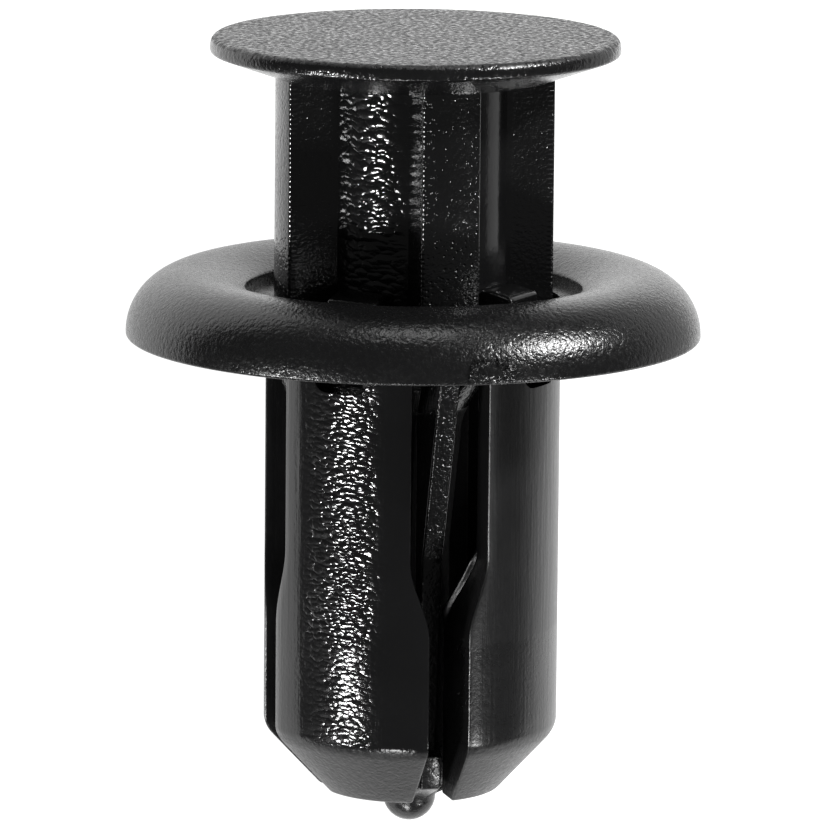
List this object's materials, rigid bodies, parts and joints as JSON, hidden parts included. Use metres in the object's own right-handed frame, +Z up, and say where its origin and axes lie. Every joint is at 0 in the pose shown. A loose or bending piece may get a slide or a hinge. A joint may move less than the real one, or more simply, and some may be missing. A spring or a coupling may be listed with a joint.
{
  "type": "plastic push rivet",
  "caption": "Plastic push rivet: split grommet with a beaded flange and a ribbed plunger pin, shown raised, that pushes in to spread the legs",
  "frame": {"origin": "on the table, under the middle of the box round the rivet as it lies", "axes": "+Z up from the table; +Y the way the head points along the table, the rivet's own axis rising at about 20 degrees from +Y; +X across it"},
  "size_m": [0.0195, 0.0278, 0.019],
  "materials": {
    "grommet_plastic": "black moulded nylon, satin grain on the flange, glossier rippled legs",
    "plunger_plastic": "black moulded nylon, sandy grain on the head, glossier shaft"
  },
  "bodies": {
    "grommet": {"grommet_body": "grommet_plastic"},
    "plunger": {"plunger_pin": "plunger_plastic"}
  },
  "joints": [
    {"name": "pin_push", "type": "slide", "parent": "grommet", "child": "plunger", "axis": [0, -0.9423, -0.3347], "range_m": [0, 0.00685]}
  ]
}
